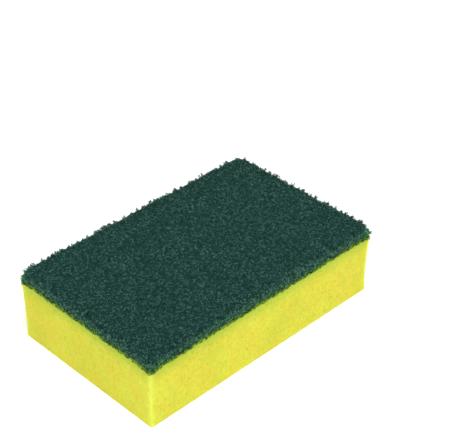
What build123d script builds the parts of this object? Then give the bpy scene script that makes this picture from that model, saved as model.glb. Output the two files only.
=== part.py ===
# Scouring sponge: a block of open-cell foam with a nonwoven fibre pad bonded on its top.
# Frame: +X along the long side, +Y along the short side, +Z up, origin under the middle of the foam's base.
# All lengths are in millimetres.
from build123d import *
import math
import os

# Foam block, cut square from a slab and laid flat on its large face
foam_length = 150.0
foam_width = 95.0
foam_height = 33.5
foam_corner_radius = 1.3  # the four upright edges, crumbled soft by the saw
foam_base_radius = 1.0  # the edges round the face that it rests on

# Open cells that the cut has laid bare, as small many-sided pits in the foam's faces
cell_radius = 0.6  # of a middling cell's mouth, out to its corners
cell_radius_spread = 0.22  # the smallest and largest differ from it by this much
cell_depth_share = 0.8  # of the cell's own radius
cell_floor_share = 0.55  # the floor's radius, as a share of the mouth's
cell_spacing = 12.0  # one cell to each square of this side
cell_margin = 3.0  # kept clear of the foam's edges
cell_sizes = 4  # how many sizes the cells come in
cell_sides = (5, 6, 7)

# Fibre pad, cut with the foam and bonded over all of its top face
pad_thickness = 6.5
pad_overhang = 0.4  # how far the fibres spread past the foam, on average
pad_corner_radius = 1.2  # down at the bond, where the blade has left them sharp
pad_shoulder_radius = 4.5  # the roll of its upper edge
pad_shoulder_rise = 0.8  # how far the roll's crest would stand over the web's mean top

# Upper corners of the pad, rubbed round: a block that leans in as it rises takes them off
rubbed_corner_radius = 12.0  # of that block's corners, at the height of the crest
rubbed_corner_lean = 24.0  # in degrees from upright
rubbed_corner_clearance = 0.15  # between its sides and the rim's tips, at the height of the crest

# Ragged rim of the pad: ripples of three lengths along its outline, as (length, reach)
rim_ripples = ((11.0, 0.08), (6.7, 0.12), (4.6, 0.14))
rim_point_step = 1.5

# Lumps of the web's top: waves crossing at several angles, as (length, height, heading in degrees)
web_waves = ((31.0, 0.14, 20.0), (23.0, 0.12, 75.0), (19.0, 0.1, 130.0), (16.0, 0.07, 170.0))
web_point_step = 4.0
web_margin = 2.0  # how far the web's surface runs past the rim, so that it cuts cleanly

# Steps that spread a run of numbered things evenly, with no rows and no repeats
GOLDEN_TURN = 180.0 * (3.0 - math.sqrt(5.0))
SPREAD_X = 0.8191725134
SPREAD_Y = 0.6710436067
SPREAD_KIND = 0.5497004779


def share(number, step):
    """A value from 0 to 1 for a numbered thing, far from the values of its neighbours."""
    return (0.5 + number * step) % 1.0


def ring(radius, height, sides):
    """The corners of an upright prism's end, evenly round the Z axis."""
    return [Vector(radius, 0, height).rotate(Axis.Z, 360.0 * k / sides) for k in range(sides)]


def cell_pit(radius, sides):
    """One opened cell in the XY plane: a pocket that narrows below it and flares above it."""
    depth = radius * cell_depth_share
    low = ring(radius * cell_floor_share, -depth, sides)
    high = ring(radius * (2.0 - cell_floor_share), depth, sides)
    outlines = [low, high]
    outlines += [[low[k - 1], low[k], high[k], high[k - 1]] for k in range(sides)]
    faces = [make_face(Polyline(*corners, close=True)) for corners in outlines]
    return Solid(Shell(faces))


def cell_pits():
    """Every kind of cell, in each size with each number of sides."""
    radii = [
        cell_radius + cell_radius_spread * (2.0 * size / (cell_sizes - 1) - 1.0)
        for size in range(cell_sizes)
    ]
    return [cell_pit(radius, sides) for radius in radii for sides in cell_sides]


def pits_over(plane, across, up, kinds, first):
    """Cells spread over a flat face that is across by up, with the plane at its middle."""
    reach_x = across / 2.0 - cell_margin
    reach_y = up / 2.0 - cell_margin
    count = round(4.0 * reach_x * reach_y / cell_spacing**2)
    pits = []
    for number in range(first, first + count):
        x = reach_x * (2.0 * share(number, SPREAD_X) - 1.0)
        y = reach_y * (2.0 * share(number, SPREAD_Y) - 1.0)
        pit = kinds[int(len(kinds) * share(number, SPREAD_KIND))]
        pits.append(plane * Pos(x, y, 0) * Rot(0, 0, number * GOLDEN_TURN) * pit)
    return pits


def foam_pits():
    """The opened cells of the base and of the four sides."""
    middle = foam_height / 2.0
    end = foam_length / 2.0
    side = foam_width / 2.0
    base = Plane((0, 0, 0), x_dir=(1, 0, 0), z_dir=(0, 0, -1))
    front = Plane((0, -side, middle), x_dir=(1, 0, 0), z_dir=(0, -1, 0))
    back = Plane((0, side, middle), x_dir=(-1, 0, 0), z_dir=(0, 1, 0))
    left = Plane((-end, 0, middle), x_dir=(0, -1, 0), z_dir=(-1, 0, 0))
    right = Plane((end, 0, middle), x_dir=(0, 1, 0), z_dir=(1, 0, 0))
    kinds = cell_pits()
    pits = pits_over(base, foam_length, foam_width, kinds, first=1)
    for plane, across in (
        (front, foam_length),
        (back, foam_length),
        (left, foam_width),
        (right, foam_width),
    ):
        pits += pits_over(plane, across, foam_height, kinds, first=len(pits) + 1)
    return pits


def foam_block():
    """The foam: a cut block with softened edges and opened cells, its top left flat for the pad."""
    block = extrude(RectangleRounded(foam_length, foam_width, foam_corner_radius), foam_height)
    base = block.faces().sort_by(Axis.Z)[0]
    return fillet(base.edges(), foam_base_radius) - foam_pits()


def rim_ripple(along, perimeter):
    """How far the rim stands out or in, at a distance along the perimeter."""
    total = 0.0
    for ripple, (length, reach) in enumerate(rim_ripples):
        turns = round(perimeter / length) * along / perimeter
        total += reach * math.sin(2.0 * math.pi * (turns + share(ripple, SPREAD_X)))
    return total


def pad_outline():
    """The pad's ragged plan shape, round the foam's top."""
    length = foam_length + 2.0 * pad_overhang
    width = foam_width + 2.0 * pad_overhang
    even = RectangleRounded(length, width, pad_corner_radius).wire()
    count = round(even.length / rim_point_step)
    points = []
    for number in range(count):
        place = even.position_at(number / count)
        heading = even.tangent_at(number / count)
        outward = Vector(heading.Y, -heading.X)
        outward *= math.copysign(1.0, outward.dot(place))
        points.append(place + outward * rim_ripple(number * even.length / count, even.length))
    return make_face(Polyline(*points, close=True))


def web_height(x, y):
    """How high the web's lumps stand over its mean top, at a place in plan."""
    total = 0.0
    for wave, (length, height, heading) in enumerate(web_waves):
        turn = math.radians(heading)
        along = x * math.cos(turn) + y * math.sin(turn)
        total += height * math.sin(2.0 * math.pi * (along / length + share(wave, SPREAD_Y)))
    return total


def spaced(reach, step):
    """Evenly spaced values from -reach to reach, at most a step apart."""
    count = math.ceil(2.0 * reach / step)
    return [reach * (2.0 * number / count - 1.0) for number in range(count + 1)]


def lumpy_slab():
    """A slab wider than the pad, from under the foam's top to the web's uneven surface."""
    top = foam_height + pad_thickness
    columns = spaced(foam_length / 2.0 + pad_overhang + web_margin, web_point_step)
    rows = spaced(foam_width / 2.0 + pad_overhang + web_margin, web_point_step)
    points = [[(x, y, top + web_height(x, y)) for y in rows] for x in columns]
    surface = Face.make_surface_from_array_of_points(points)
    return extrude(surface, amount=2.0 * pad_thickness, dir=(0, 0, -1))


def rim_reach():
    """How far the rim's furthest tips can stand past the foam."""
    return pad_overhang + sum(reach for length, reach in rim_ripples)


def shoulder_form():
    """A block round the whole pad whose upper edges roll over, for the pad's rounded shoulder."""
    length = foam_length + 2.0 * rim_reach()
    width = foam_width + 2.0 * rim_reach()
    plan = RectangleRounded(length, width, pad_corner_radius + rim_reach())
    block = extrude(plan, pad_thickness + pad_shoulder_rise)
    crest = block.faces().sort_by(Axis.Z)[-1]
    return Pos(0, 0, foam_height) * fillet(crest.edges(), pad_shoulder_radius)


def rubbed_corner_form():
    """A block round the whole pad that only its upper corners reach out of."""
    height = pad_thickness + pad_shoulder_rise
    lean = height * math.tan(math.radians(rubbed_corner_lean))
    reach = rim_reach() + rubbed_corner_clearance + lean
    length = foam_length + 2.0 * reach
    width = foam_width + 2.0 * reach
    plan = RectangleRounded(length, width, rubbed_corner_radius + lean)
    return Pos(0, 0, foam_height) * extrude(plan, height, taper=rubbed_corner_lean)


def scouring_pad():
    """The fibre pad: its ragged outline stood up, then cut to its shoulder, corners and lumpy top."""
    slab = Pos(0, 0, foam_height) * extrude(pad_outline(), 2.0 * pad_thickness)
    return slab & shoulder_form() & rubbed_corner_form() & lumpy_slab()


os.makedirs("parts", exist_ok=True)
export_step(foam_block(), "parts/foam_block.step")
export_step(scouring_pad(), "parts/scouring_pad.step")
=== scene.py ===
# Scouring sponge: a cut foam block with a web of crimped fibres bonded on its top, lying foam side down.
# Frame: +X along the long side, +Y along the short side, +Z up. All sizes are in metres.

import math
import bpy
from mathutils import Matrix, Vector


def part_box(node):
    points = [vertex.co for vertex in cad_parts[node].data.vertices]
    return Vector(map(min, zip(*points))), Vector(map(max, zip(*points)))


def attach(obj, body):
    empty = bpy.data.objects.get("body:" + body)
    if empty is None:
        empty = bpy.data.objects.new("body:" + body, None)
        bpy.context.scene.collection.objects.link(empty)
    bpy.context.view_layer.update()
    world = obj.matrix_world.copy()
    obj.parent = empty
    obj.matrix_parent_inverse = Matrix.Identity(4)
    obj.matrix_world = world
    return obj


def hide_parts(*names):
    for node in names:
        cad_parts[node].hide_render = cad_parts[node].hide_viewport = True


bl_info = {
    "name": "Scouring sponge",
    "version": (1, 0, 0),
    "blender": (4, 5, 0),
    "location": "3D View > Sidebar > Sponge",
    "description": "Dresses the packed foam block and fibre pad, and sets a plain studio round them",
    "category": "Object",
}

import bpy
import numpy as np
from mathutils import Quaternion, Vector, geometry, noise
from mathutils.bvhtree import BVHTree

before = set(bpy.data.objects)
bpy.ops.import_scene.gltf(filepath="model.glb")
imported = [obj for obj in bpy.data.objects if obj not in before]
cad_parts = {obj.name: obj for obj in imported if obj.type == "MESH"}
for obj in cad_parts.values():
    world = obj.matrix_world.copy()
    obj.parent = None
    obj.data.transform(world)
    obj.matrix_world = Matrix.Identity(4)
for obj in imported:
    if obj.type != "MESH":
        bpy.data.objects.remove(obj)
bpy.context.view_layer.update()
foam_low, foam_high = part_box("foam_block")
foam_size = foam_high - foam_low
pad_low, pad_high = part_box("scouring_pad")

MM = 0.001  # a millimetre, in metres


# Sizes and colours that a user would change


def linear(colour):
    """An sRGB hex colour as linear red, green and blue."""
    parts = [int(colour[at : at + 2], 16) / 255.0 for at in (1, 3, 5)]
    return [part / 12.92 if part <= 0.04045 else ((part + 0.055) / 1.055) ** 2.4 for part in parts]


def length_property(name, description, default):
    """A size in metres that Blender shows with its unit."""
    return bpy.props.FloatProperty(
        name=name, description=description, default=default, min=0.0, precision=5, unit="LENGTH"
    )


def share_property(name, description, default):
    """A share from 0 to 1."""
    return bpy.props.FloatProperty(
        name=name, description=description, default=default, min=0.0, max=1.0, subtype="FACTOR"
    )


def colour_property(name, description, default):
    """A colour given as sRGB hex."""
    return bpy.props.FloatVectorProperty(
        name=name, description=description, default=linear(default), min=0.0, max=1.0, subtype="COLOR"
    )


def count_property(name, description, default):
    """A number of like things."""
    return bpy.props.IntProperty(name=name, description=description, default=default, min=1)


def power_property(name, description, default):
    """The power of a light in watts."""
    return bpy.props.FloatProperty(name=name, description=description, default=default, unit="POWER")


class SPONGE_PG_foam(bpy.types.PropertyGroup):
    """The foam block."""

    corner_radius: length_property("Corner radius", "Softness of the upright edges", 1.3 * MM)
    base_radius: length_property("Base radius", "Softness of the edges it rests on", 0.4 * MM)
    cell_width: length_property("Cell width", "Across one opened cell of the cut sides", 1.0 * MM)
    base_cell_width: length_property("Base cell width", "Across one opened cell underneath", 1.9 * MM)
    cell_depth: length_property("Cell depth", "How deep the deepest common cells are", 0.3 * MM)
    hole_depth: length_property("Hole depth", "How deep a cell laid wide open is", 0.9 * MM)
    hole_share: share_property("Holes", "Share of the cells that the cut laid wide open", 0.02)
    corner_sag: length_property("Corner sag", "How far the corners of its top hang down", 1.4 * MM)
    corner_flare: length_property("Corner flare", "How far the corners of its top stand out", 0.65 * MM)
    foot_flare: length_property("Foot flare", "How far its foot stands out under its own weight", 0.4 * MM)
    # Painted shade: how far down under the pad the foam is painted greener and darker, for the pad's shade
    # and green light
    pad_shade_depth: length_property("Soak depth", "How far down the bond's resin has soaked", 9.5 * MM)
    edge_width: length_property("Edge width", "How far from an upright edge the foam is brighter", 3.5 * MM)
    colour: colour_property("Foam", "The foam's own yellow", "#CCCC42")
    # Painted highlight along the upright edges, for light coming through the thin foam there
    edge_highlight_colour: colour_property("Edge foam", "Thin crumbled foam at the upright edges", "#D0DA52")
    blotch_colour: colour_property("Blotches", "Where the foam is a little denser", "#BDB937")
    warm_colour: colour_property("Warm patches", "Where the dye lies a little thicker", "#CEC43F")
    # Painted shade and green light from the pad, on the foam right under it
    pad_shade_colour: colour_property("Soaked foam", "The foam right under the bond", "#9AB83C")


class SPONGE_PG_pad(bpy.types.PropertyGroup):
    """The fibre pad."""

    web_grain: length_property("Web grain", "Size of the facets of the pad's inner web", 0.95 * MM)
    gap_depth: length_property("Gap depth", "How deep the openings between fibres go", 0.3 * MM)
    gap_width: length_property("Gap width", "Across an opening between fibres", 1.1 * MM)
    lump_width: length_property("Lump width", "Across a lump of the web", 4.0 * MM)
    lump_height: length_property("Lump height", "How far lumps stand out or in", 0.2 * MM)
    undercut: length_property("Undercut", "How far the bond draws the web in at its rim", 0.5 * MM)
    notch_depth: length_property("Notch depth", "How unevenly the bond draws the rim in", 1.25 * MM)
    notch_width: length_property("Notch width", "Across a notch of the rim at the bond", 2.2 * MM)
    corner_reach: length_property("Corner reach", "How far the corners spread past the foam", 1.1 * MM)
    slide: bpy.props.FloatVectorProperty(
        name="Slide",
        description="How far the pad slid on the foam, along and across, as it was bonded",
        size=2,
        default=(0.5 * MM, -0.2 * MM),
        precision=5,
        unit="LENGTH",
        subtype="TRANSLATION",
    )
    bulge_height: length_property("Bulge height", "Where the web has spread out again", 2.2 * MM)
    fibre_width: length_property("Fibre width", "Thickness of a middling fibre", 0.2 * MM)
    fibre_length: length_property("Fibre length", "Length of fibre seen between two dips", 1.4 * MM)
    # Also how far up the painted shade of the joint and the painted yellow light from the foam reach
    bond_height: length_property("Bond height", "How far up the bond's resin and foam dust reach", 4.5 * MM)
    rim_width: length_property("Rim width", "How far from the bond's edge the fibres are paler", 7.0 * MM)
    tuft_height: length_property("Tuft height", "How far the tallest tufts stand off the rim", 2.5 * MM)
    tuft_width: length_property("Tuft width", "Across one tuft", 0.45 * MM)
    layers: count_property("Layers", "Layers of fibres, one over the other", 3)
    fibres: count_property("Fibres", "Fibres in each of the layers", 9800)
    tufts: count_property("Tufts", "Tufts of loose fibre round the rim", 950)
    tuft_fibres: count_property("Tuft fibres", "Fibres in one tuft of the rim", 4)
    bond_tufts: count_property("Bond tufts", "Tufts that hang at the bond", 450)
    bond_tuft_fibres: count_property("Bond tuft fibres", "Fibres in one tuft at the bond", 3)
    colour: colour_property("Fibre", "A middling fibre, in its resin", "#19473F")
    light_colour: colour_property("Light fibre", "Fibres with thin resin, and rubbed ones", "#639186")
    # Partly painted light: paler by the bond's edge for thin resin, for the light the rolled shoulder
    # catches and for yellow light from the foam
    rim_resin_and_light_colour: colour_property("Rim fibre", "Fibres by the bond's edge, thin of resin", "#78BE90")
    dark_colour: colour_property("Dark fibre", "Fibres thick with resin", "#082B25")
    # Partly painted: the dark bond colour holds the joint's painted shade, the light one painted yellow
    # light from the foam
    bond_resin_and_shade_colour: colour_property("Dark bond", "Fibres at the bond, thick with resin", "#183208")
    bond_dust_and_foam_light_colour: colour_property("Light bond", "Fibres at the bond, full of foam dust", "#8CCE1A")
    # Painted shade: the nearly black colour of the web deep between the fibres
    gap_shade_colour: colour_property("Deep web", "The web seen down between fibres", "#051C18")


class SPONGE_PG_stage(bpy.types.PropertyGroup):
    """Floor, light and camera."""

    floor_colour: colour_property("Floor", "Pale paper floor", "#FAFAFA")
    key_power: power_property("Key", "The main light, from high over the camera", 9.9)
    fill_power: power_property("Fill", "The light that softens the side away from the key", 1.8)
    sky_strength: share_property("Sky", "Strength of the white light all round", 0.85)
    lens: bpy.props.FloatProperty(
        name="Lens", description="Focal length in millimetres", default=107.26, unit="CAMERA"
    )


# Materials

# A colour mix's sockets for its share and its two colours, and its output
SHARE, FIRST, SECOND, MIXED = 0, 6, 7, 2


def add(tree, kind, sockets=None, **settings):
    """Adds a node with its settings. A socket takes a value, or the output that feeds it."""
    node = tree.nodes.new(kind)
    for name, value in settings.items():
        setattr(node, name, value)
    for name, value in (sockets or {}).items():
        if isinstance(value, bpy.types.NodeSocket):
            tree.links.new(value, node.inputs[name])
        else:
            node.inputs[name].default_value = value
    return node


def new_material(name):
    """A material with its empty node tree."""
    material = bpy.data.materials.new(name)
    material.use_nodes = True
    material.node_tree.nodes.clear()
    return material, material.node_tree


def opaque(colour):
    """A colour property with the alpha that a node's socket wants."""
    return [*colour, 1.0]


def patches(tree, place, width, detail, low, high, most=1.0):
    """How far a place lies in a soft patch up to width across: 0 at low of a noise, most at high."""
    cloud = add(tree, "ShaderNodeTexNoise", {"Vector": place, "Scale": 1.0 / width, "Detail": detail})
    share = add(
        tree,
        "ShaderNodeMapRange",
        {"Value": cloud.outputs["Fac"], "From Min": low, "From Max": high, "To Max": most},
    )
    return share.outputs["Result"]


def foam_material(foam):
    """Flexible polyurethane foam, cut by a blade: matt, and bright at its edges."""
    material, tree = new_material("polyurethane_foam")
    place = add(tree, "ShaderNodeTexCoord").outputs["Object"]
    # Denser blotches up to 25 mm across, where the foam rose unevenly: a faint olive shadow in the yellow
    blotch = patches(tree, place, 25.0 * MM, 3.0, 0.4, 0.65, most=0.6)
    colour = add(
        tree,
        "ShaderNodeMix",
        {SHARE: blotch, FIRST: opaque(foam.colour), SECOND: opaque(foam.blotch_colour)},
        data_type="RGBA",
    )
    # Dye that settled in patches up to 11 mm across: a slightly warmer yellow
    warmth = patches(tree, place, 11.0 * MM, 2.0, 0.42, 0.62, most=0.9)
    colour = add(
        tree,
        "ShaderNodeMix",
        {SHARE: warmth, FIRST: colour.outputs[MIXED], SECOND: opaque(foam.warm_colour)},
        data_type="RGBA",
    )
    # Painted shade and painted green light from the pad: the foam is painted greener and darker towards the
    # pad
    height = add(tree, "ShaderNodeSeparateXYZ", {"Vector": place}).outputs["Z"]
    soaked = add(
        tree,
        "ShaderNodeMapRange",
        {"Value": height, "From Min": foam_high.z - foam.pad_shade_depth, "From Max": foam_high.z},
    )
    soaked = add(tree, "ShaderNodeMath", {0: soaked.outputs["Result"], 1: 1.5}, operation="POWER")
    colour = add(
        tree,
        "ShaderNodeMix",
        {SHARE: soaked.outputs[0], FIRST: colour.outputs[MIXED], SECOND: opaque(foam.pad_shade_colour)},
        data_type="RGBA",
    )
    # Painted highlight: a paler, greener line painted along the upright edges, for light that comes through
    # the thin edges from both sides
    edge = add(tree, "ShaderNodeAttribute", attribute_name="edge").outputs["Fac"]
    colour = add(
        tree,
        "ShaderNodeMix",
        {SHARE: edge, FIRST: colour.outputs[MIXED], SECOND: opaque(foam.edge_highlight_colour)},
        data_type="RGBA",
    )
    # Cut cell walls: real ones are 0.6 mm apart, too fine to show, and the grain is drawn as 1.6 mm
    grain = add(
        tree,
        "ShaderNodeTexNoise",
        {"Vector": place, "Scale": 1.0 / (1.6 * MM), "Detail": 3.0, "Roughness": 0.65},
    )
    grain = add(
        tree,
        "ShaderNodeMapRange",
        {"Value": grain.outputs["Fac"], "From Min": 0.3, "From Max": 0.7, "To Min": 0.87, "To Max": 1.07},
    )
    # Painted shade: cells laid wide open are painted darker inside
    hole = add(tree, "ShaderNodeAttribute", attribute_name="hole").outputs["Fac"]
    grain_and_hole_shade = add(tree, "ShaderNodeMath", {0: hole, 1: -0.5, 2: 1.0}, operation="MULTIPLY_ADD")
    grain_and_hole_shade = add(
        tree,
        "ShaderNodeMath",
        {0: grain_and_hole_shade.outputs[0], 1: grain.outputs["Result"]},
        operation="MULTIPLY",
    )
    colour = add(
        tree,
        "ShaderNodeVectorMath",
        {0: colour.outputs[MIXED], "Scale": grain_and_hole_shade.outputs[0]},
        operation="SCALE",
    )
    # Cells of 0.45 mm, finer than the mesh: a soft bump that keeps the cut faces matt
    cells = add(tree, "ShaderNodeTexVoronoi", {"Vector": place, "Scale": 1.0 / (0.45 * MM)})
    bump = add(
        tree,
        "ShaderNodeBump",
        {"Height": cells.outputs["Distance"], "Strength": 0.35, "Distance": 0.12 * MM},
    )
    shader = add(
        tree,
        "ShaderNodeBsdfPrincipled",
        {
            "Base Color": colour.outputs["Vector"],
            "Roughness": 0.9,
            "IOR": 1.45,
            "Specular IOR Level": 0.2,
            "Subsurface Weight": 1.0,
            "Subsurface Radius": (1.0, 0.95, 0.3),
            "Subsurface Scale": 3.5 * MM,
            "Normal": bump.outputs["Normal"],
        },
    )
    add(tree, "ShaderNodeOutputMaterial", {"Surface": shader.outputs["BSDF"]})
    return material


def web_material(pad):
    """Polyamide fibre web bound with phenolic resin, seen between the fibres: matt, and painted nearly black
    for the shade deep between them.
    """
    material, tree = new_material("polyamide_web_painted_shade")
    place = add(tree, "ShaderNodeTexCoord").outputs["Object"]
    depth = add(tree, "ShaderNodeAttribute", attribute_name="gap").outputs["Fac"]
    # Fibres further in: paler lines on black. Real ones cross every 0.3 mm, too fine to show, and
    # these are drawn every 0.8 mm
    bend = add(tree, "ShaderNodeTexNoise", {"Vector": place, "Scale": 1.0 / (1.2 * MM), "Detail": 1.0})
    bent = add(
        tree,
        "ShaderNodeVectorMath",
        {0: bend.outputs["Color"], 1: [1.0 * MM] * 3, 2: place},
        operation="MULTIPLY_ADD",
    )
    crossing = add(
        tree,
        "ShaderNodeTexVoronoi",
        {"Vector": bent.outputs[0], "Scale": 1.0 / (0.8 * MM)},
        feature="DISTANCE_TO_EDGE",
    )
    line = add(
        tree,
        "ShaderNodeMapRange",
        {
            "Value": crossing.outputs["Distance"],
            "From Min": 0.03,
            "From Max": 0.18,
            "To Min": 1.0,
            "To Max": 0.0,
        },
    )
    # Painted shade: deeper openings are painted closer to the nearly black deep web
    shown = add(tree, "ShaderNodeMath", {0: depth, 1: -0.5, 2: 1.0}, operation="MULTIPLY_ADD")
    shown = add(
        tree,
        "ShaderNodeMath",
        {0: shown.outputs[0], 1: line.outputs["Result"]},
        operation="MULTIPLY",
    )
    colour = add(
        tree,
        "ShaderNodeMix",
        {SHARE: shown.outputs[0], FIRST: opaque(pad.gap_shade_colour), SECOND: opaque(pad.colour)},
        data_type="RGBA",
    )
    bump = add(
        tree,
        "ShaderNodeBump",
        {"Height": line.outputs["Result"], "Strength": 0.7, "Distance": 0.2 * MM},
    )
    shader = add(
        tree,
        "ShaderNodeBsdfPrincipled",
        {
            "Base Color": colour.outputs[MIXED],
            "Roughness": 0.8,
            "IOR": 1.5,
            "Specular IOR Level": 0.1,
            "Normal": bump.outputs["Normal"],
        },
    )
    add(tree, "ShaderNodeOutputMaterial", {"Surface": shader.outputs["BSDF"]})
    return material


def fibre_material(pad):
    """Crimped polyamide fibres in hardened resin: dark blue-green with a slight gloss on their crowns."""
    material, tree = new_material("polyamide_fibre_resin")
    place = add(tree, "ShaderNodeTexCoord").outputs["Object"]
    shade = add(tree, "ShaderNodeAttribute", attribute_name="shade").outputs["Fac"]
    # Resin lies unevenly, in patches up to 12 mm across
    patch = add(tree, "ShaderNodeTexNoise", {"Vector": place, "Scale": 1.0 / (12.0 * MM), "Detail": 3.0})
    thin = add(
        tree,
        "ShaderNodeMath",
        {0: patch.outputs["Fac"], 1: 0.3, 2: -0.15},
        operation="MULTIPLY_ADD",
    )
    thin = add(tree, "ShaderNodeMath", {0: thin.outputs[0], 1: shade}, operation="ADD")
    lower = add(tree, "ShaderNodeMapRange", {"Value": thin.outputs[0], "From Max": 0.5})
    upper = add(tree, "ShaderNodeMapRange", {"Value": thin.outputs[0], "From Min": 0.5})
    colour = add(
        tree,
        "ShaderNodeMix",
        {SHARE: lower.outputs["Result"], FIRST: opaque(pad.dark_colour), SECOND: opaque(pad.colour)},
        data_type="RGBA",
    )
    colour = add(
        tree,
        "ShaderNodeMix",
        {SHARE: upper.outputs["Result"], FIRST: colour.outputs[MIXED], SECOND: opaque(pad.light_colour)},
        data_type="RGBA",
    )
    # Paler by the bond's edge: partly thin resin, partly painted light of the rolled shoulder and yellow
    # light from the foam
    rim = add(tree, "ShaderNodeAttribute", attribute_name="rim").outputs["Fac"]
    colour = add(
        tree,
        "ShaderNodeMix",
        {SHARE: rim, FIRST: colour.outputs[MIXED], SECOND: opaque(pad.rim_resin_and_light_colour)},
        data_type="RGBA",
    )
    # Resin and foam dust at the bond, in clots about 1.5 mm across, nearly black to bright olive: partly
    # painted shade of the undercut joint in the dark clots, and partly painted yellow light from the foam in
    # the bright ones
    dust = patches(tree, place, 1.5 * MM, 1.0, 0.46, 0.58)
    dust = add(tree, "ShaderNodeMath", {0: dust, 1: lower.outputs["Result"]}, operation="MULTIPLY")
    bond_dust_and_shade = add(
        tree,
        "ShaderNodeMix",
        {SHARE: dust.outputs[0], FIRST: opaque(pad.bond_resin_and_shade_colour), SECOND: opaque(pad.bond_dust_and_foam_light_colour)},
        data_type="RGBA",
    )
    # Towards the bond the fibres take that colour: resin and dust, with painted shade and painted foam light
    bond = add(tree, "ShaderNodeAttribute", attribute_name="bond").outputs["Fac"]
    colour = add(
        tree,
        "ShaderNodeMix",
        {SHARE: bond, FIRST: colour.outputs[MIXED], SECOND: bond_dust_and_shade.outputs[MIXED]},
        data_type="RGBA",
    )
    # Grit of 0.15 mm held in the resin: too fine to show by itself, it breaks up the gloss
    grit = add(tree, "ShaderNodeTexNoise", {"Vector": place, "Scale": 1.0 / (0.15 * MM), "Detail": 1.0})
    bump = add(
        tree,
        "ShaderNodeBump",
        {"Height": grit.outputs["Fac"], "Strength": 0.4, "Distance": 0.05 * MM},
    )
    shader = add(
        tree,
        "ShaderNodeBsdfPrincipled",
        {
            "Base Color": colour.outputs[MIXED],
            "Roughness": 0.6,
            "IOR": 1.53,
            "Specular IOR Level": 0.15,
            "Normal": bump.outputs["Normal"],
        },
    )
    add(tree, "ShaderNodeOutputMaterial", {"Surface": shader.outputs["BSDF"]})
    return material


def paper_material(stage):
    """Uncoated white paper roll: matt, with a trace of tooth."""
    material, tree = new_material("paper_floor")
    place = add(tree, "ShaderNodeTexCoord").outputs["Object"]
    tooth = add(tree, "ShaderNodeTexNoise", {"Vector": place, "Scale": 1.0 / (2.0 * MM), "Detail": 2.0})
    bump = add(
        tree,
        "ShaderNodeBump",
        {"Height": tooth.outputs["Fac"], "Strength": 0.05, "Distance": 0.1 * MM},
    )
    shader = add(
        tree,
        "ShaderNodeBsdfPrincipled",
        {
            "Base Color": opaque(stage.floor_colour),
            "Roughness": 0.95,
            "Specular IOR Level": 0.1,
            "Normal": bump.outputs["Normal"],
        },
    )
    add(tree, "ShaderNodeOutputMaterial", {"Surface": shader.outputs["BSDF"]})
    return material


# Meshes

TINY = 1e-12  # in metres, keeps a strand of no length from dividing by zero
TINY_AREA = 1e-18  # in square metres, does the same for a triangle
MERGE = 1e-9  # in metres, points of a flat face that are closer than this are one


def place_piece(name, vertices, faces, material, smooth=True):
    """A new object from its points and faces, in the scene and with its material."""
    mesh = bpy.data.meshes.new(name)
    mesh.from_pydata(vertices.tolist(), [], faces)
    mesh.materials.append(material)
    mesh.polygons.foreach_set("use_smooth", [smooth] * len(mesh.polygons))
    mesh.validate()
    piece = bpy.data.objects.new(name, mesh)
    bpy.context.scene.collection.objects.link(piece)
    return piece


def add_value(mesh, name, values):
    """Gives each point of a mesh a value that a material reads by name."""
    attribute = mesh.attributes.new(name, "FLOAT", "POINT")
    attribute.data.foreach_set("value", np.asarray(values, np.float32))


def rounded_outline(along, length, width, radius):
    """Points and outward normals at distances along a rounded rectangle, turning left."""
    along = np.asarray(along, float)
    arc = radius * math.pi / 2.0
    points = np.zeros((len(along), 2))
    normals = np.zeros((len(along), 2))
    start = 0.0
    for side in range(4):
        reach, span = (length / 2.0, width) if side % 2 == 0 else (width / 2.0, length)
        span -= 2.0 * radius
        facing = side * math.pi / 2.0
        out = np.array([round(math.cos(facing)), round(math.sin(facing))], float)
        ahead = np.array([-out[1], out[0]])
        past = along - start
        on_side = (past >= 0.0) & (past < span)
        points[on_side] = out * reach + (past[on_side] - span / 2.0)[:, None] * ahead
        normals[on_side] = out
        on_arc = (past >= span) & (past < span + arc)
        turn = facing + (past[on_arc] - span) / radius
        spokes = np.stack([np.cos(turn), np.sin(turn)], axis=1)
        points[on_arc] = out * (reach - radius) + ahead * span / 2.0 + radius * spokes
        normals[on_arc] = spokes
        start += span + arc
    return points, normals


def outline_length(length, width, radius):
    """The perimeter of a rounded rectangle."""
    return 2.0 * (length + width) - 8.0 * radius + 2.0 * math.pi * radius


def inside_rounded(points, length, width, radius):
    """How far each point lies inside a rounded rectangle; negative outside."""
    over = np.abs(points) - np.array([length / 2.0 - radius, width / 2.0 - radius])
    outside = np.linalg.norm(np.maximum(over, 0.0), axis=-1)
    return radius - outside - np.minimum(np.max(over, axis=-1), 0.0)


def filled(boundary, inner):
    """Points and triangles of a flat face with that boundary, which comes first in the points."""
    flat = [Vector(point) for point in np.concatenate([boundary, inner])]
    loop = [list(range(len(boundary)))]
    points, _, faces, *_ = geometry.delaunay_2d_cdt(flat, [], loop, 1, MERGE)
    return np.array([tuple(point) for point in points]), faces


def honeycomb(length, width, pitch):
    """Staggered points over a rectangle, and which of them are the middles of cells."""
    rows = math.ceil(width / (pitch * math.sqrt(0.75)))
    columns = math.ceil(length / pitch)
    row, column = np.divmod(np.arange(rows * columns), columns)
    x = (column + 0.5 * (row % 2) - columns / 2.0) * pitch
    y = (row - rows / 2.0) * pitch * math.sqrt(0.75)
    return np.stack([x, y], axis=1), (column - row // 2 - row) % 3 == 0


# Shared by the foam and the pad

CORNER_SPAN = 11.0 * MM  # how far from a corner, along and across together, the joint sags


def smooth_step(low, high, value):
    """0 below low, 1 above high, and an even slope between."""
    share = min(max((value - low) / (high - low), 0.0), 1.0)
    return share * share * (3.0 - 2.0 * share)


def from_corner(x, y):
    """How far a place is from the nearest corner of the pad, along and across together."""
    return pad_high.x - abs(x) + pad_high.y - abs(y)


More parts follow.
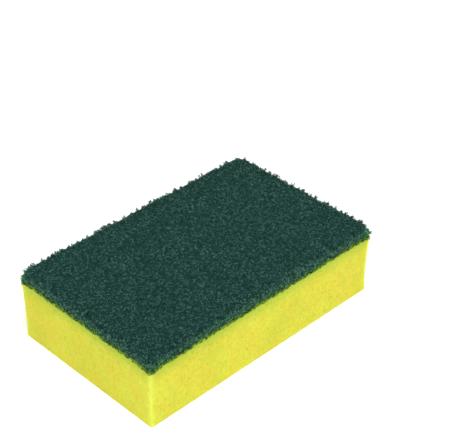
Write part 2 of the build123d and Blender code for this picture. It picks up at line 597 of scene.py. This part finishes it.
def by_corner(x, y):
    """1 at a corner of the pad, and 0 well away from it."""
    return 1.0 - smooth_step(0.0, CORNER_SPAN, from_corner(x, y))


def bond_sag(x, y):
    """How far the bond lies below its flat middle at a place."""
    return bpy.context.scene.sponge_foam.corner_sag * by_corner(x, y)


# Foam block

FOAM_SEED = 7
CELL_SCATTER = 0.3  # how far a point of the sides stands off its lattice, as a share of the pitch
ROW_SCATTER = 0.8  # of the cell scatter, up and down
BASE_SCATTER = 0.28  # how far a point of the base stands off its lattice, as a share of the pitch
BASE_MARGIN = 0.6  # between the base's edge and its points, as a share of the pitch
WALL_DEPTH = (0.02, 0.15)  # of the walls between cells, as shares of the cell depth
EXTRA_DEPTH = (0.1, 0.85)  # how much deeper the side cells are, before shallow ones are favoured
BASE_DEPTH = (0.1, 1.0)  # of the base cells, before shallow ones are favoured
SHALLOW_BIAS = 1.5  # more than 1 favours shallow cells
LID_SPACING = 6.0 * MM  # between the points of the hidden top
FOOT_HEIGHT = 8.0 * MM  # how far up the foam's weight makes its foot stand out
SAG_HEIGHT = 12.0 * MM  # how far down from the bond the foam hangs with its corners


def foam_sides(foam, size, rng):
    """The sides and the softened edges round the base: a lattice whose every third point is a cell."""
    length, width, height = size
    around = outline_length(length, width, foam.corner_radius)
    pitch = foam.cell_width / math.sqrt(3.0)
    columns = 3 * round(around / pitch / 3.0)
    straight = height - foam.base_radius
    down = straight + foam.base_radius * math.pi / 2.0
    rows = round(down / (pitch * math.sqrt(0.75)))
    row, column = np.divmod(np.arange((rows + 1) * columns), columns)
    middle = (row > 0) & (row < rows)
    loose = np.where(middle, CELL_SCATTER * pitch, 0.0)
    along = (column + 0.5 * (row % 2)) * around / columns + rng.uniform(-1, 1, len(row)) * loose
    drop = row * down / rows + rng.uniform(-1, 1, len(row)) * loose * ROW_SCATTER
    turn = np.clip((drop - straight) / foam.base_radius, 0.0, math.pi / 2.0)
    plan, out = rounded_outline(along % around, length, width, foam.corner_radius)
    plan = plan - out * (foam.base_radius * (1.0 - np.cos(turn)))[:, None]
    z = height - np.minimum(drop, straight) - foam.base_radius * np.sin(turn)
    points = np.column_stack([plan, z])
    normals = np.column_stack([out * np.cos(turn)[:, None], -np.sin(turn)])
    is_cell = (column - row // 2 - row) % 3 == 0
    is_hole = is_cell & middle & (rng.random(len(row)) < foam.hole_share)
    depth = rng.uniform(*WALL_DEPTH, len(row))
    depth += is_cell * rng.uniform(*EXTRA_DEPTH, len(row)) ** SHALLOW_BIAS
    depth = np.where(is_hole, foam.hole_depth, depth * middle * foam.cell_depth)
    return points - normals * depth[:, None], lattice_faces(rows, columns), is_hole, columns


def lattice_faces(rows, columns):
    """Triangles of a closed band of staggered rows, facing out."""
    faces = []
    for row in range(rows):
        for column in range(columns):
            after = (column + 1) % columns
            a, b = row * columns + column, row * columns + after
            c, d = a + columns, b + columns
            if row % 2 == 0:
                faces += [(a, c, b), (b, c, d)]
            else:
                faces += [(a, c, d), (a, d, b)]
    return faces


def foam_mesh(foam, size):
    """The whole closed block: sides, base with larger cells, and a plain top under the pad."""
    rng = np.random.default_rng(FOAM_SEED)
    length, width, height = size
    points, faces, is_hole, columns = foam_sides(foam, size, rng)
    base = len(points) - columns
    inset = 2.0 * foam.base_radius
    corner = foam.corner_radius - foam.base_radius
    pitch = foam.base_cell_width / math.sqrt(3.0)
    inner, is_cell = honeycomb(length, width, pitch)
    inner += rng.uniform(-BASE_SCATTER, BASE_SCATTER, inner.shape) * pitch
    kept = inside_rounded(inner, length - inset, width - inset, corner) > BASE_MARGIN * pitch
    inner, is_cell = inner[kept], is_cell[kept]
    flat, triangles = filled(points[base:, :2], inner)
    depth = is_cell * rng.uniform(*BASE_DEPTH, len(inner)) ** SHALLOW_BIAS * foam.cell_depth
    raised = np.column_stack([flat[columns:], depth])
    faces += [[base + corner_at for corner_at in reversed(face)] for face in triangles]
    points = np.concatenate([points, raised])
    inner, _ = honeycomb(length, width, LID_SPACING)
    kept = inside_rounded(inner, length, width, foam.corner_radius) > LID_SPACING / 2.0
    inner = inner[kept]
    flat, triangles = filled(points[:columns, :2], inner)
    shift = len(points) - columns
    faces += [[at if at < columns else at + shift for at in face] for face in triangles]
    lid = np.column_stack([flat[columns:], np.full(len(inner), height)])
    points = np.concatenate([points, lid])
    return points, faces, np.pad(is_hole, (0, len(points) - len(is_hole)))


def settle(foam, pad, points):
    """Moves the block's points as its weight and the bond did: foot out, top along and corners down."""
    half = np.array(foam_size.xy) / 2.0
    height = points[:, 2] - foam_low.z
    rise = (height / foam_size.z)[:, None] ** 2
    foot = np.clip(1.0 - height / FOOT_HEIGHT, 0.0, 1.0)[:, None] ** 2
    corner = np.array([[by_corner(x, y)] for x, y, _ in points])
    top = np.clip((points[:, 2] - foam_high.z) / SAG_HEIGHT + 1.0, 0.0, 1.0)[:, None] ** 2
    spread = foam.corner_flare * corner * rise + foam.foot_flare * foot
    points[:, :2] *= 1.0 + spread / half
    points[:, :2] += np.array(pad.slide) * rise
    points[:, 2:] -= foam.corner_sag * corner * top


class SPONGE_OT_foam(bpy.types.Operator):
    """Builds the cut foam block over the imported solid."""

    bl_idname = "sponge.foam"
    bl_label = "Foam block"

    def execute(self, context):
        foam = context.scene.sponge_foam
        points, faces, is_hole = foam_mesh(foam, foam_size)
        from_edge = np.linalg.norm(np.array(foam_size.xy) / 2.0 - np.abs(points[:, :2]), axis=1)
        points += np.array([*(foam_low + foam_high).xy / 2.0, foam_low.z])
        settle(foam, context.scene.sponge_pad, points)
        piece = place_piece("foam_block_cut", points, faces, foam_material(foam))
        add_value(piece.data, "hole", is_hole)
        # Painted highlight: the paler colour near the upright edges
        add_value(piece.data, "edge", np.clip(1.0 - from_edge / foam.edge_width, 0.0, 1.0))
        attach(piece, "root")
        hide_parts("foam_block")
        return {"FINISHED"}


# Fibre pad

FIBRE_SEED = 11


def clumps(spot):
    """Uneven blobs about one unit across, from about -1 to 1."""
    return noise.noise(spot) + 0.5 * noise.noise(spot * 2.3)


# How the bond and the slide shaped the rim. Reaches from a corner are along and across together
CORNER_CORE = 1.5 * MM  # the reach in which a corner spreads fully
CORNER_EDGE = 4.5 * MM  # the reach in which it spreads at all, at the bond
CORNER_GROWTH = 1.5  # how much that reach grows for each length that the rim rises
SPREAD_RISE = (-3.0 * MM, 2.0 * MM)  # heights over the bond between which the spread grows
SPREAD_FALL = (3.5 * MM, 7.0 * MM)  # and between which it dies away
SAG_FADE = 6.5 * MM  # the height over the bond at which the pad no longer sags with the foam
BAY_WIDTH = 12.0 * MM  # across a wide bay of the rim
BAY_DEPTH = 1.1 * MM


def shaped(pad, place, normal):
    """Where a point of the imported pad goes.

    The web is lumpy. At the bond its rim is drawn in unevenly, and its corners spread and sag. The
    whole pad has slid on the foam.
    """
    height = place.z - pad_low.z
    drawn = 1.0 - smooth_step(0.0, pad.bulge_height, height)
    lump = clumps(place / pad.lump_width) * pad.lump_height * (1.0 - drawn)
    moved = place + normal * lump
    edge = CORNER_EDGE + CORNER_GROWTH * height
    corner = 1.0 - smooth_step(CORNER_CORE, edge, from_corner(place.x, place.y))
    spread = smooth_step(*SPREAD_RISE, height) * (1.0 - smooth_step(*SPREAD_FALL, height))
    spread *= pad.corner_reach * corner
    pull = pad.undercut + clumps(place / pad.notch_width) * pad.notch_depth
    pull += noise.noise(place / BAY_WIDTH) * BAY_DEPTH
    pull = drawn * pull * (1.0 - corner) - spread
    moved.x = moved.x * (1.0 - pull / pad_high.x) + pad.slide[0]
    moved.y = moved.y * (1.0 - pull / pad_high.y) + pad.slide[1]
    moved.z -= bond_sag(place.x, place.y) * (1.0 - smooth_step(0.0, SAG_FADE, height))
    return moved


GAP_EDGES = (0.05, 0.55)  # values of the clumps between which an opening of the web deepens
GAP_FADE = 1.0 * MM  # the height over the bond at which the openings reach their full depth
WEB_DEPTH = 0.15 * MM  # how far the web lies under the fibres


def web_mesh(pad):
    """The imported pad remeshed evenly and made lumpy, with openings sunk into its top and sides."""
    source = bpy.data.objects.new("web_source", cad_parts["scouring_pad"].data.copy())
    bpy.context.scene.collection.objects.link(source)
    remesh = source.modifiers.new("grain", "REMESH")
    remesh.mode = "VOXEL"
    remesh.voxel_size = pad.web_grain
    evaluated = source.evaluated_get(bpy.context.evaluated_depsgraph_get())
    mesh = bpy.data.meshes.new_from_object(evaluated)
    bpy.data.objects.remove(source)
    normals = [Vector(vertex.normal) for vertex in mesh.vertices]
    gaps = []
    for vertex, normal in zip(mesh.vertices, normals):
        share = smooth_step(*GAP_EDGES, clumps(vertex.co / pad.gap_width))
        shown = smooth_step(0.0, GAP_FADE, vertex.co.z - pad_low.z)
        sunk = share * shown * pad.gap_depth + WEB_DEPTH
        vertex.co = shaped(pad, vertex.co, normal) - normal * sunk
        gaps.append(share)
    add_value(mesh, "gap", gaps)
    return mesh


def pad_skin():
    """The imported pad's surface: a tree that finds its nearest place, and its points and triangles."""
    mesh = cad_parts["scouring_pad"].data
    mesh.calc_loop_triangles()
    points = [vertex.co.copy() for vertex in mesh.vertices]
    triangles = [tuple(triangle.vertices) for triangle in mesh.loop_triangles]
    return BVHTree.FromPolygons(points, triangles), np.array(points), np.array(triangles)


def spread_seeds(points, triangles, count, rng, wanted):
    """Places spread evenly over the triangles that wanted picks, strip by strip."""
    corners = points[triangles]
    crossed = np.cross(corners[:, 1] - corners[:, 0], corners[:, 2] - corners[:, 0])
    doubled = np.linalg.norm(crossed, axis=1)
    normals = crossed / np.maximum(doubled, TINY_AREA)[:, None]
    middles = corners.mean(axis=1)
    area = doubled / 2.0 * wanted(middles, normals)
    strip = math.sqrt(area.sum() / count)
    order = np.lexsort((middles[:, 1], np.floor(middles[:, 0] / strip)))
    reached = np.cumsum(area[order])
    marks = (np.arange(count) + rng.random(count)) / count * reached[-1]
    chosen = order[np.searchsorted(reached, marks)]
    u, v = rng.random((2, count, 1))
    over = u + v > 1.0
    u, v = np.where(over, 1.0 - u, u), np.where(over, 1.0 - v, v)
    a, b, c = corners[chosen].transpose(1, 0, 2)
    return a + u * (b - a) + v * (c - a)


BEND = 0.38  # of a fibre along its whole way, in radians a step
KINK = 0.3  # of a fibre from one step to the next, in radians
LIFT_FADE = 1.5 * MM  # the height over the bond at which fibres are lifted fully
LEAST_LIFT = 0.2  # the share of its lift that a fibre keeps at the bond
BOND_CLEARANCE = 0.1 * MM  # the least height of a fibre over the bond


def walk(skin, start, heading, bends, step):
    """Places and normals met on a walk over the skin that bends by an angle at each step."""
    place, normal, _, _ = skin.find_nearest(Vector(start))
    heading = Vector((math.cos(heading), math.sin(heading), 0.0))
    # On an upright face, the heading runs along the face and up it
    if abs(normal.z) < 0.5:
        heading = Vector((heading.x * normal.y, -heading.x * normal.x, heading.y))
    places, normals = [], []
    for bend in bends:
        places.append(place)
        normals.append(normal)
        heading = (heading - normal * heading.dot(normal)).normalized()
        heading.rotate(Quaternion(normal, bend))
        place, normal, _, _ = skin.find_nearest(place + heading * step)
    return places, normals


STRAND_SIDES = 3
STRAND_WIDTHS = (0.7, 1.25)  # the thinnest and the thickest, as shares of the middling width
STRAND_TAPER = 0.3  # how much thinner a strand is at its ends, as a share
PAD_CORNER_RADIUS = 1.2 * MM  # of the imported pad's upright edges
PALE_FALL = 1.3  # more than 1 keeps the paler colour closer to the rim


def strand_mesh(paths, ups, widths):
    """Closed tubes along many paths at once."""
    sides = STRAND_SIDES
    ahead = np.gradient(paths, axis=1)
    ahead /= np.linalg.norm(ahead, axis=2, keepdims=True) + TINY
    across = np.cross(ahead, ups)
    across /= np.linalg.norm(across, axis=2, keepdims=True) + TINY
    upright = np.cross(across, ahead)
    count, points = paths.shape[:2]
    turns = np.arange(sides) * 2.0 * math.pi / sides
    round_up = np.cos(turns)[:, None] * upright[:, :, None]
    round_over = np.sin(turns)[:, None] * across[:, :, None]
    rings = paths[:, :, None] + widths[:, :, None, None] / 2.0 * (round_up + round_over)
    here = np.arange(sides)
    after = (here + 1) % sides
    ring = (np.arange(count)[:, None, None] * points + np.arange(points - 1)[None, :, None]) * sides
    walls = np.stack([ring + here, ring + after, ring + after + sides, ring + here + sides], axis=-1)
    first = np.arange(count)[:, None] * points * sides
    ends = np.concatenate([first + here[::-1], first + (points - 1) * sides + here])
    return rings.reshape(-1, 3), walls.reshape(-1, 4).tolist() + ends.tolist()


def unlike_neighbours(count, rng):
    """Values from 0 to 1, even over any few that follow each other."""
    golden = (math.sqrt(5.0) - 1.0) / 2.0
    return (np.arange(count) * golden + rng.uniform(-0.1, 0.1, count)) % 1.0


def wander(skin, seeds, points, length, rng):
    """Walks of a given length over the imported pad's skin, from every seed: their places and normals."""
    count = len(seeds)
    bends = rng.normal(0.0, BEND, count)[:, None] + rng.normal(0.0, KINK, (count, points))
    headings = rng.uniform(0.0, 2.0 * math.pi, count)
    step = length / (points - 1)
    walks = [walk(skin, *start, step) for start in zip(seeds, headings, bends)]
    paths = np.array([places for places, _ in walks], float)
    ups = np.array([normals for _, normals in walks], float)
    return paths, ups


def on_web(pad, paths, ups, lifts):
    """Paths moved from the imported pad's skin to the lumpy web, and lifted off it, less so by the bond."""
    moved = [
        [shaped(pad, Vector(place), Vector(normal)) for place, normal in zip(path, normals)]
        for path, normals in zip(paths, ups)
    ]
    rise = np.clip((paths[:, :, 2] - pad_low.z) / LIFT_FADE, LEAST_LIFT, 1.0) * lifts
    moved = np.array(moved, float) + ups * rise[:, :, None]
    lowest = [[pad_low.z + BOND_CLEARANCE - bond_sag(x, y) for x, y, _ in path] for path in paths]
    moved[:, :, 2] = np.maximum(moved[:, :, 2], lowest)
    return moved


def place_strands(name, pad, material, paths, ups, shades, width, rim_share, rng):
    """One piece of many fibres along their paths, each with its own shade and thickness."""
    count, points = paths.shape[:2]
    # Real fibres are 0.05 to 0.1 mm thick, too fine to show, and these are drawn 0.2 to 0.3 mm thick
    widths = width * rng.uniform(*STRAND_WIDTHS, count)[:, None]
    widths = widths * (1.0 - STRAND_TAPER * np.linspace(-1, 1, points)[None, :] ** 2)
    vertices, faces = strand_mesh(paths, ups, widths)
    piece = place_piece(name, vertices, faces, material)
    height = paths[:, :, 2] - pad_low.z
    across, deep, _ = pad_high - pad_low
    inside = inside_rounded(paths[:, :, :2], across, deep, PAD_CORNER_RADIUS)
    # Paler near the bond's edge: partly thin resin, partly painted light
    paler = np.clip(1.0 - np.hypot(inside, height) / pad.rim_width, 0.0, 1.0)
    by_bond = np.clip(1.0 - height / pad.bond_height, 0.0, 1.0)
    add_value(piece.data, "shade", np.repeat(shades, STRAND_SIDES * points))
    add_value(piece.data, "rim", np.repeat((rim_share * paler**PALE_FALL).ravel(), STRAND_SIDES))
    add_value(piece.data, "bond", np.repeat(by_bond.ravel(), STRAND_SIDES))
    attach(piece, "root")


FIBRE_POINTS = 4
FIBRE_FOOT = 0.2 * MM  # the least height of a fibre's start over the bond
CRIMPS = (0.8, 2.2)  # half waves along a fibre
CRIMP_HEIGHT = (0.1, 0.35)  # of a half wave, in millimetres
FIBRE_LEVEL = (-0.25, 0.2)  # of a fibre over the web, in millimetres


def lay_fibres(pad, material, rng):
    """Layers of crimped fibres over the top and the sides, each rising and dipping on its way."""

    def seen(middles, normals):
        """The top and the sides, down to just over the bond."""
        return (normals[:, 2] > -0.5) * (middles[:, 2] > pad_low.z + FIBRE_FOOT)

    skin, points, triangles = pad_skin()
    along = np.linspace(0.0, 1.0, FIBRE_POINTS)
    for layer in range(pad.layers):
        seeds = spread_seeds(points, triangles, pad.fibres, rng, seen)
        paths, ups = wander(skin, seeds, FIBRE_POINTS, pad.fibre_length, rng)
        waves = rng.uniform(*CRIMPS, (pad.fibres, 1))
        turns = along * waves + rng.random((pad.fibres, 1))
        lifts = np.sin(math.pi * turns) * rng.uniform(*CRIMP_HEIGHT, (pad.fibres, 1))
        lifts = (lifts + rng.uniform(*FIBRE_LEVEL, (pad.fibres, 1))) * MM
        paths = on_web(pad, paths, ups, lifts)
        shades = unlike_neighbours(pad.fibres, rng)
        name = f"pad_fibres_{layer + 1}"
        place_strands(name, pad, material, paths, ups, shades, pad.fibre_width, 1.0, rng)


TUFT_POINTS = 5
SHOULDER = (0.35, 0.97)  # how far up the shoulder faces, from 0 for level to 1 for straight up
TUFT_LENGTH = 0.9 * MM  # over the rim, from one foot of a loop to the other
TUFT_FOOT = 0.1 * MM  # how deep the feet of a loop stand in the web
TUFT_HEIGHTS = (0.1, 1.0)  # as shares of the tallest, before low ones are favoured
LOW_BIAS = 2.2  # more than 1 favours low tufts
LOOP_HEIGHTS = (0.6, 1.0)  # of the loops in one tuft, as shares of its height
DARK_BIAS = 1.2  # more than 1 favours dark loops
TUFT_THICKNESS = 1.5  # of a loop, as a share of a middling fibre's
TUFT_PALENESS = 0.9  # how far the loops turn to the rim's colour


def raise_rim_tufts(pad, material, rng):
    """Tufts of stiff loops that stand off the shoulder of the rim, a few tall ones among many low."""

    def rim(middles, normals):
        """The rolled shoulder, which faces neither quite up nor quite out."""
        return (normals[:, 2] > SHOULDER[0]) * (normals[:, 2] < SHOULDER[1])

    skin, points, triangles = pad_skin()
    along = np.linspace(0.0, 1.0, TUFT_POINTS)
    seeds = spread_seeds(points, triangles, pad.tufts, rng, rim)
    seeds = np.repeat(seeds, pad.tuft_fibres, axis=0)
    seeds += rng.uniform(-0.5, 0.5, seeds.shape) * pad.tuft_width
    paths, ups = wander(skin, seeds, TUFT_POINTS, TUFT_LENGTH, rng)
    tall = rng.uniform(*TUFT_HEIGHTS, pad.tufts) ** LOW_BIAS
    tall = np.repeat(tall, pad.tuft_fibres) * pad.tuft_height
    tall = tall * rng.uniform(*LOOP_HEIGHTS, len(tall))
    lifts = np.sin(math.pi * along) * tall[:, None] - TUFT_FOOT
    paths = on_web(pad, paths, ups, lifts)
    shades = rng.random(len(paths)) ** DARK_BIAS
    width = TUFT_THICKNESS * pad.fibre_width
    place_strands("pad_rim_tufts", pad, material, paths, ups, shades, width, TUFT_PALENESS, rng)


BOND_TUFT_REACH = 2.0 * MM  # the height over the bond under which the tufts are rooted
BOND_TUFT_LENGTH = 1.2 * MM
BOND_TUFT_DROP = 0.5 * MM  # how far the longest hangs
SHORT_BIAS = 2.0  # more than 1 favours tufts that hang less
BOND_TUFT_HEIGHT = (0.15, 0.6)  # of its feet over the bond, in millimetres
BOND_TUFT_OUT = (-0.05, 0.2)  # how far it stands out, in millimetres
BOND_TUFT_SHADES = (0.0, 0.15)
BOND_TUFT_THICKNESS = 1.2  # of a strand, as a share of a middling fibre's
BOND_TUFT_PALENESS = 0.3  # how far the strands turn to the rim's colour


def hang_bond_tufts(pad, material, rng):
    """Short tufts full of resin and foam dust that hang over the joint, kept dark as painted shade along the
    joint.
    """

    def by_bond(middles, normals):
        """The foot of the upright rim."""
        return (np.abs(normals[:, 2]) < 0.3) * (middles[:, 2] < pad_low.z + BOND_TUFT_REACH)

    skin, points, triangles = pad_skin()
    along = np.linspace(0.0, 1.0, TUFT_POINTS)
    seeds = spread_seeds(points, triangles, pad.bond_tufts, rng, by_bond)
    seeds = np.repeat(seeds, pad.bond_tuft_fibres, axis=0)
    seeds += rng.uniform(-0.5, 0.5, seeds.shape) * pad.tuft_width
    seeds[:, 2] = pad_low.z + rng.uniform(*BOND_TUFT_HEIGHT, len(seeds)) * MM
    paths, ups = wander(skin, seeds, TUFT_POINTS, BOND_TUFT_LENGTH, rng)
    drop = rng.random(pad.bond_tufts) ** SHORT_BIAS
    drop = np.repeat(drop, pad.bond_tuft_fibres)[:, None] * BOND_TUFT_DROP
    paths += ups * (rng.uniform(*BOND_TUFT_OUT, (len(paths), 1)) * MM)[:, :, None]
    lowest = pad_low.z - BOND_TUFT_DROP
    paths[:, :, 2] = np.maximum(paths[:, :, 2] - drop * np.sin(math.pi * along), lowest)
    paths[:, :, 2] -= [[bond_sag(x, y) for x, y, _ in path] for path in paths]
    paths[:, :, :2] += pad.slide
    # Low shades keep the tufts near the bond's dark colour: painted shade along the joint
    shades = rng.uniform(*BOND_TUFT_SHADES, len(paths))
    width = BOND_TUFT_THICKNESS * pad.fibre_width
    place_strands("pad_bond_tufts", pad, material, paths, ups, shades, width, BOND_TUFT_PALENESS, rng)


class SPONGE_OT_web(bpy.types.Operator):
    """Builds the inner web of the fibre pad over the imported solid."""

    bl_idname = "sponge.web"
    bl_label = "Pad web"

    def execute(self, context):
        pad = context.scene.sponge_pad
        mesh = web_mesh(pad)
        mesh.materials.clear()
        mesh.materials.append(web_material(pad))
        mesh.polygons.foreach_set("use_smooth", [True] * len(mesh.polygons))
        piece = bpy.data.objects.new("pad_web", mesh)
        context.scene.collection.objects.link(piece)
        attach(piece, "root")
        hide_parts("scouring_pad")
        return {"FINISHED"}


class SPONGE_OT_fibres(bpy.types.Operator):
    """Lays crimped fibres over the pad in layers, and loose tufts round its rim and its bond."""

    bl_idname = "sponge.fibres"
    bl_label = "Pad fibres"

    def execute(self, context):
        pad = context.scene.sponge_pad
        material = fibre_material(pad)
        rng = np.random.default_rng(FIBRE_SEED)
        lay_fibres(pad, material, rng)
        raise_rim_tufts(pad, material, rng)
        hang_bond_tufts(pad, material, rng)
        return {"FINISHED"}


# Stage

KEY_PLACE = (-0.28, -0.38, 1.15)
KEY_SIZE = 0.45
FILL_PLACE = (0.9, -0.5, 0.7)
FILL_SIZE = 0.8
FLOOR_RADIUS = 4.0
FLOOR_SIDES = 48
# Where the photograph was taken from, fitted to the edges of the sponge in it
CAMERA_PLACE = (-0.36496, -0.39985, 0.43565)
CAMERA_TURN = (54.942, 0.409, -44.114)  # in degrees
SENSOR_WIDTH = 36.0  # in millimetres


def add_light(name, place, size, power):
    """A soft square light aimed at the foot of the sponge."""
    data = bpy.data.lights.new(name, "AREA")
    data.shape = "SQUARE"
    data.size = size
    data.energy = power
    light = bpy.data.objects.new(name, data)
    bpy.context.scene.collection.objects.link(light)
    light.location = place
    light.rotation_euler = (-Vector(place)).to_track_quat("-Z", "Y").to_euler()


class SPONGE_OT_stage(bpy.types.Operator):
    """Sets the pale floor, the soft light and the camera."""

    bl_idname = "sponge.stage"
    bl_label = "Stage"

    def execute(self, context):
        stage = context.scene.sponge_stage
        scene = context.scene
        turns = np.arange(FLOOR_SIDES) * 2.0 * math.pi / FLOOR_SIDES
        edge = np.column_stack([np.cos(turns), np.sin(turns), 0.0 * turns]) * FLOOR_RADIUS
        face = list(range(FLOOR_SIDES))
        floor = place_piece("floor", edge, [face], paper_material(stage), smooth=False)
        add_light("key_light", KEY_PLACE, KEY_SIZE, stage.key_power)
        add_light("fill_light", FILL_PLACE, FILL_SIZE, stage.fill_power)
        world = bpy.data.worlds.new("soft_sky")
        world.use_nodes = True
        world.node_tree.nodes.clear()
        sky = add(
            world.node_tree,
            "ShaderNodeBackground",
            {"Color": (1, 1, 1, 1), "Strength": stage.sky_strength},
        )
        add(world.node_tree, "ShaderNodeOutputWorld", {"Surface": sky.outputs[0]})
        scene.world = world
        scene.view_settings.view_transform = "Standard"
        data = bpy.data.cameras.new("camera")
        data.sensor_width = SENSOR_WIDTH
        data.lens = stage.lens
        data.clip_start = 0.01
        camera = bpy.data.objects.new("camera", data)
        scene.collection.objects.link(camera)
        camera.location = CAMERA_PLACE
        camera.rotation_euler = [math.radians(angle) for angle in CAMERA_TURN]
        scene.camera = camera
        return {"FINISHED"}


class SPONGE_PT_panel(bpy.types.Panel):
    """Lists the sponge's pieces and settings."""

    bl_label = "Scouring sponge"
    bl_space_type = "VIEW_3D"
    bl_region_type = "UI"
    bl_category = "Sponge"

    def draw(self, context):
        for group, operators in (
            (context.scene.sponge_foam, ("sponge.foam",)),
            (context.scene.sponge_pad, ("sponge.web", "sponge.fibres")),
            (context.scene.sponge_stage, ("sponge.stage",)),
        ):
            box = self.layout.box()
            for name in group.__annotations__:
                box.prop(group, name)
            for operator in operators:
                box.operator(operator)


SETTINGS = {
    "sponge_foam": SPONGE_PG_foam,
    "sponge_pad": SPONGE_PG_pad,
    "sponge_stage": SPONGE_PG_stage,
}
CLASSES = (
    *SETTINGS.values(),
    SPONGE_OT_foam,
    SPONGE_OT_web,
    SPONGE_OT_fibres,
    SPONGE_OT_stage,
    SPONGE_PT_panel,
)


def register():
    """Registers every class, and hangs the settings on the scene."""
    for kind in CLASSES:
        bpy.utils.register_class(kind)
    for name, group in SETTINGS.items():
        setattr(bpy.types.Scene, name, bpy.props.PointerProperty(type=group))


def unregister():
    """Takes back what register did."""
    for name in SETTINGS:
        delattr(bpy.types.Scene, name)
    for kind in reversed(CLASSES):
        bpy.utils.unregister_class(kind)


def main():
    """Builds the sponge and its stage."""
    register()
    bpy.ops.sponge.foam()
    bpy.ops.sponge.web()
    bpy.ops.sponge.fibres()
    bpy.ops.sponge.stage()


if __name__ == "__main__":
    main()
